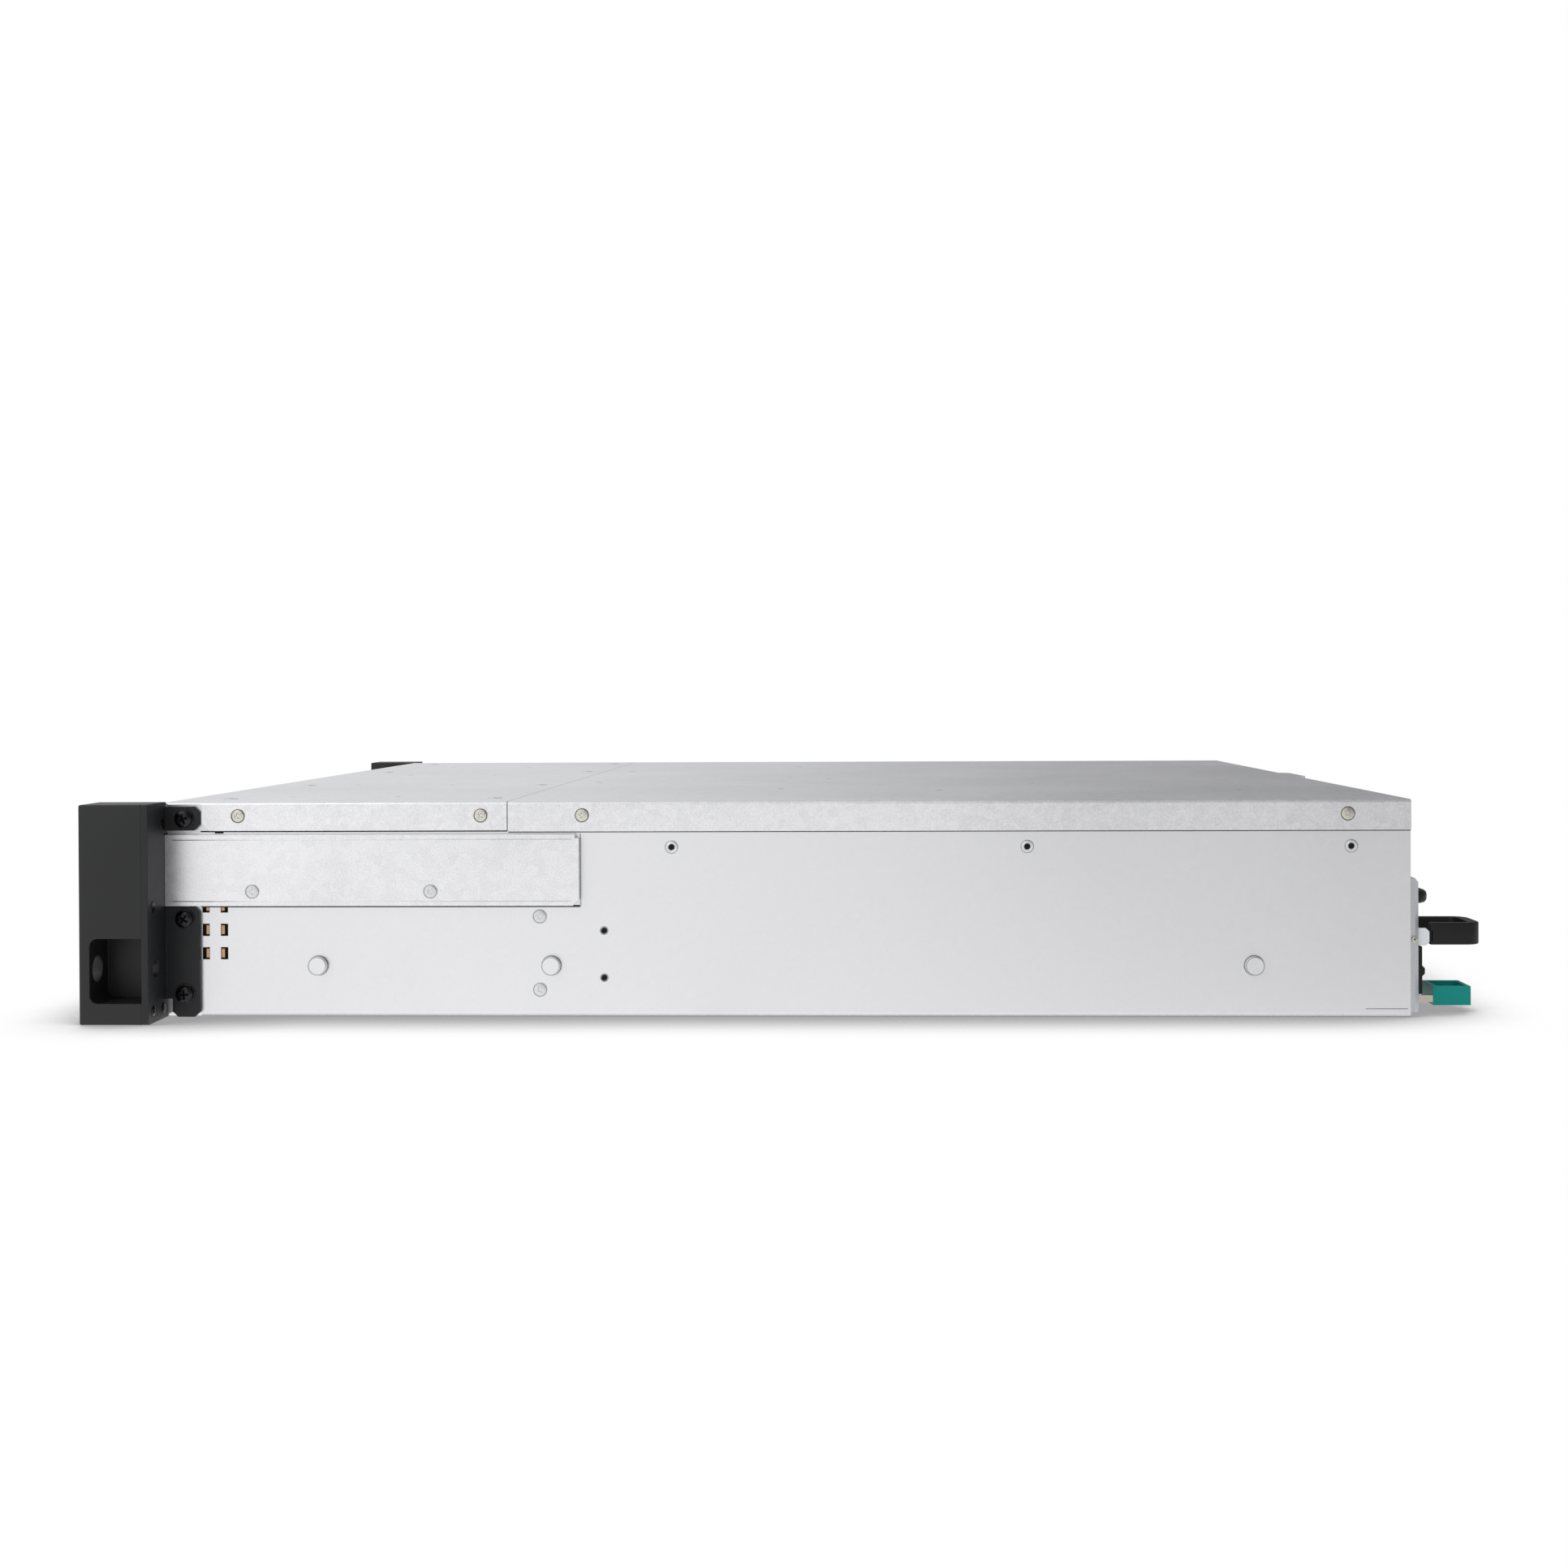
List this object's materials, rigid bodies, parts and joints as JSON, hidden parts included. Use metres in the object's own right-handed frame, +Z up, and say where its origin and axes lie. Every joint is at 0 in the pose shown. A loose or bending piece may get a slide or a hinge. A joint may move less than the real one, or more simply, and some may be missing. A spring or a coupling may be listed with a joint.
{
  "type": "disk shelf enclosure",
  "caption": "Flat 2U rack enclosure of folded zinc-coated sheet with hot-swap disk carriers at the front, ears for the rack, pull-out power supplies and an I/O module at the rear.",
  "frame": {"origin": "on the underside, on the centre line, level with the rear faces of the rack ears", "axes": "+X to the right seen from the front, +Y from the front to the rear, +Z up"},
  "size_m": [0.482, 0.5656, 0.088],
  "materials": {
    "galvanised_sheet": "matt zinc coat with a faint mottle",
    "cover_sheet": "matt zinc coat, smooth",
    "ear_black": "matt black powder coat",
    "handle_black": "fine matt texture",
    "button_white": "smooth",
    "lens_green": "clear moulded, tinted",
    "nickel_steel": "bright nickel plate",
    "copper_alloy": "bright copper alloy",
    "board_green": "solder mask",
    "connector_black": "moulded",
    "fan_black": "moulded",
    "module_steel": "bright, matt",
    "port_steel": "nickel plate",
    "grip_black": "moulded, satin",
    "inlet_black": "moulded",
    "latch_teal": "moulded, satin",
    "carrier_grey": "moulded",
    "lever_black": "moulded, satin"
  },
  "bodies": {
    "chassis": {"board_connectors": "connector_black", "cable_cover_left": "galvanised_sheet", "cable_cover_right": "galvanised_sheet", "chassis_pan": "galvanised_sheet", "circuit_boards": "board_green", "drive_cage": "galvanised_sheet", "ear_bracket_left": "ear_black", "ear_bracket_right": "ear_black", "ear_handle_left": "handle_black", "ear_handle_right": "handle_black", "emi_fingers": "copper_alloy", "fan_frames": "fan_black", "fan_wall": "galvanised_sheet", "front_top_cover": "cover_sheet", "indicator_lenses": "lens_green", "press_nuts": "nickel_steel", "rail_studs": "nickel_steel", "rear_panel": "galvanised_sheet", "rear_top_cover": "cover_sheet"},
    "carrier_11": {"carrier_11_tray": "carrier_grey"},
    "lever_11": {"carrier_11_lever": "lever_black"},
    "carrier_12": {"carrier_12_tray": "carrier_grey"},
    "lever_12": {"carrier_12_lever": "lever_black"},
    "carrier_13": {"carrier_13_tray": "carrier_grey"},
    "lever_13": {"carrier_13_lever": "lever_black"},
    "carrier_21": {"carrier_21_tray": "carrier_grey"},
    "lever_21": {"carrier_21_lever": "lever_black"},
    "carrier_22": {"carrier_22_tray": "carrier_grey"},
    "lever_22": {"carrier_22_lever": "lever_black"},
    "carrier_23": {"carrier_23_tray": "carrier_grey"},
    "lever_23": {"carrier_23_lever": "lever_black"},
    "carrier_31": {"carrier_31_tray": "carrier_grey"},
    "lever_31": {"carrier_31_lever": "lever_black"},
    "carrier_32": {"carrier_32_tray": "carrier_grey"},
    "lever_32": {"carrier_32_lever": "lever_black"},
    "carrier_33": {"carrier_33_tray": "carrier_grey"},
    "lever_33": {"carrier_33_lever": "lever_black"},
    "carrier_41": {"carrier_41_tray": "carrier_grey"},
    "lever_41": {"carrier_41_lever": "lever_black"},
    "carrier_42": {"carrier_42_tray": "carrier_grey"},
    "lever_42": {"carrier_42_lever": "lever_black"},
    "carrier_43": {"carrier_43_tray": "carrier_grey"},
    "lever_43": {"carrier_43_lever": "lever_black"},
    "fan_1": {"fan_rotor_1": "fan_black"},
    "fan_2": {"fan_rotor_2": "fan_black"},
    "fan_3": {"fan_rotor_3": "fan_black"},
    "power_button": {"power_button": "button_white"},
    "psu_right": {"psu_right_case": "module_steel", "psu_right_inlet": "inlet_black"},
    "psu_right_handle": {"psu_right_handle": "grip_black"},
    "psu_right_latch": {"psu_right_latch": "latch_teal"},
    "psu_left": {"psu_left_case": "module_steel", "psu_left_inlet": "inlet_black"},
    "psu_left_handle": {"psu_left_handle": "grip_black"},
    "psu_left_latch": {"psu_left_latch": "latch_teal"},
    "io": {"io_module": "module_steel", "io_ports": "port_steel", "io_handle": "grip_black"}
  },
  "joints": [
    {"name": "carrier_11_slide", "type": "slide", "parent": "chassis", "child": "carrier_11", "axis": [0, -1, 0], "range_m": [0, 0.15]},
    {"name": "lever_11_hinge", "type": "hinge", "parent": "carrier_11", "child": "lever_11", "pos_m": [-0.2085, -0.0185, 0.01555], "axis": [0, 0, -1], "range_deg": [0, 75]},
    {"name": "carrier_12_slide", "type": "slide", "parent": "chassis", "child": "carrier_12", "axis": [0, -1, 0], "range_m": [0, 0.15]},
    {"name": "lever_12_hinge", "type": "hinge", "parent": "carrier_12", "child": "lever_12", "pos_m": [-0.2085, -0.0185, 0.04305], "axis": [0, 0, -1], "range_deg": [0, 75]},
    {"name": "carrier_13_slide", "type": "slide", "parent": "chassis", "child": "carrier_13", "axis": [0, -1, 0], "range_m": [0, 0.15]},
    {"name": "lever_13_hinge", "type": "hinge", "parent": "carrier_13", "child": "lever_13", "pos_m": [-0.2085, -0.0185, 0.07055], "axis": [0, 0, -1], "range_deg": [0, 75]},
    {"name": "carrier_21_slide", "type": "slide", "parent": "chassis", "child": "carrier_21", "axis": [0, -1, 0], "range_m": [0, 0.15]},
    {"name": "lever_21_hinge", "type": "hinge", "parent": "carrier_21", "child": "lever_21", "pos_m": [-0.1005, -0.0185, 0.01555], "axis": [0, 0, -1], "range_deg": [0, 75]},
    {"name": "carrier_22_slide", "type": "slide", "parent": "chassis", "child": "carrier_22", "axis": [0, -1, 0], "range_m": [0, 0.15]},
    {"name": "lever_22_hinge", "type": "hinge", "parent": "carrier_22", "child": "lever_22", "pos_m": [-0.1005, -0.0185, 0.04305], "axis": [0, 0, -1], "range_deg": [0, 75]},
    {"name": "carrier_23_slide", "type": "slide", "parent": "chassis", "child": "carrier_23", "axis": [0, -1, 0], "range_m": [0, 0.15]},
    {"name": "lever_23_hinge", "type": "hinge", "parent": "carrier_23", "child": "lever_23", "pos_m": [-0.1005, -0.0185, 0.07055], "axis": [0, 0, -1], "range_deg": [0, 75]},
    {"name": "carrier_31_slide", "type": "slide", "parent": "chassis", "child": "carrier_31", "axis": [0, -1, 0], "range_m": [0, 0.15]},
    {"name": "lever_31_hinge", "type": "hinge", "parent": "carrier_31", "child": "lever_31", "pos_m": [0.0075, -0.0185, 0.01555], "axis": [0, 0, -1], "range_deg": [0, 75]},
    {"name": "carrier_32_slide", "type": "slide", "parent": "chassis", "child": "carrier_32", "axis": [0, -1, 0], "range_m": [0, 0.15]},
    {"name": "lever_32_hinge", "type": "hinge", "parent": "carrier_32", "child": "lever_32", "pos_m": [0.0075, -0.0185, 0.04305], "axis": [0, 0, -1], "range_deg": [0, 75]},
    {"name": "carrier_33_slide", "type": "slide", "parent": "chassis", "child": "carrier_33", "axis": [0, -1, 0], "range_m": [0, 0.15]},
    {"name": "lever_33_hinge", "type": "hinge", "parent": "carrier_33", "child": "lever_33", "pos_m": [0.0075, -0.0185, 0.07055], "axis": [0, 0, -1], "range_deg": [0, 75]},
    {"name": "carrier_41_slide", "type": "slide", "parent": "chassis", "child": "carrier_41", "axis": [0, -1, 0], "range_m": [0, 0.15]},
    {"name": "lever_41_hinge", "type": "hinge", "parent": "carrier_41", "child": "lever_41", "pos_m": [0.1155, -0.0185, 0.01555], "axis": [0, 0, -1], "range_deg": [0, 75]},
    {"name": "carrier_42_slide", "type": "slide", "parent": "chassis", "child": "carrier_42", "axis": [0, -1, 0], "range_m": [0, 0.15]},
    {"name": "lever_42_hinge", "type": "hinge", "parent": "carrier_42", "child": "lever_42", "pos_m": [0.1155, -0.0185, 0.04305], "axis": [0, 0, -1], "range_deg": [0, 75]},
    {"name": "carrier_43_slide", "type": "slide", "parent": "chassis", "child": "carrier_43", "axis": [0, -1, 0], "range_m": [0, 0.15]},
    {"name": "lever_43_hinge", "type": "hinge", "parent": "carrier_43", "child": "lever_43", "pos_m": [0.1155, -0.0185, 0.07055], "axis": [0, 0, -1], "range_deg": [0, 75]},
    {"name": "fan_1_spin", "type": "hinge", "parent": "chassis", "child": "fan_1", "pos_m": [-0.134, 0.186, 0.042], "axis": [0, 1, 0], "continuous": true},
    {"name": "fan_2_spin", "type": "hinge", "parent": "chassis", "child": "fan_2", "pos_m": [0, 0.186, 0.042], "axis": [0, 1, 0], "continuous": true},
    {"name": "fan_3_spin", "type": "hinge", "parent": "chassis", "child": "fan_3", "pos_m": [0.134, 0.186, 0.042], "axis": [0, 1, 0], "continuous": true},
    {"name": "power_button_press", "type": "slide", "parent": "chassis", "child": "power_button", "axis": [0, 1, 0], "range_m": [0, 0.001], "stiffness_N_per_m": 300, "springref_m": -0.001},
    {"name": "psu_right_slide", "type": "slide", "parent": "chassis", "child": "psu_right", "axis": [0, 1, 0], "range_m": [0, 0.22]},
    {"name": "psu_right_handle_hinge", "type": "hinge", "parent": "psu_right", "child": "psu_right_handle", "pos_m": [0.198, 0.5123, 0.0315], "axis": [1, 0, 0], "range_deg": [0, 40]},
    {"name": "psu_right_latch_hinge", "type": "hinge", "parent": "psu_right", "child": "psu_right_latch", "pos_m": [0.2065, 0.507, 0.0057], "axis": [0, 0, 1], "range_deg": [0, 7], "stiffness_Nm_per_rad": 0.2, "springref_deg": -2.86},
    {"name": "psu_left_slide", "type": "slide", "parent": "chassis", "child": "psu_left", "axis": [0, 1, 0], "range_m": [0, 0.22]},
    {"name": "psu_left_handle_hinge", "type": "hinge", "parent": "psu_left", "child": "psu_left_handle", "pos_m": [-0.192, 0.5123, 0.0315], "axis": [1, 0, 0], "range_deg": [0, 40]},
    {"name": "psu_left_latch_hinge", "type": "hinge", "parent": "psu_left", "child": "psu_left_latch", "pos_m": [-0.1835, 0.507, 0.0057], "axis": [0, 0, 1], "range_deg": [0, 7], "stiffness_Nm_per_rad": 0.2, "springref_deg": -2.86},
    {"name": "io_slide", "type": "slide", "parent": "chassis", "child": "io", "axis": [0, 1, 0], "range_m": [0, 0.22]}
  ]
}
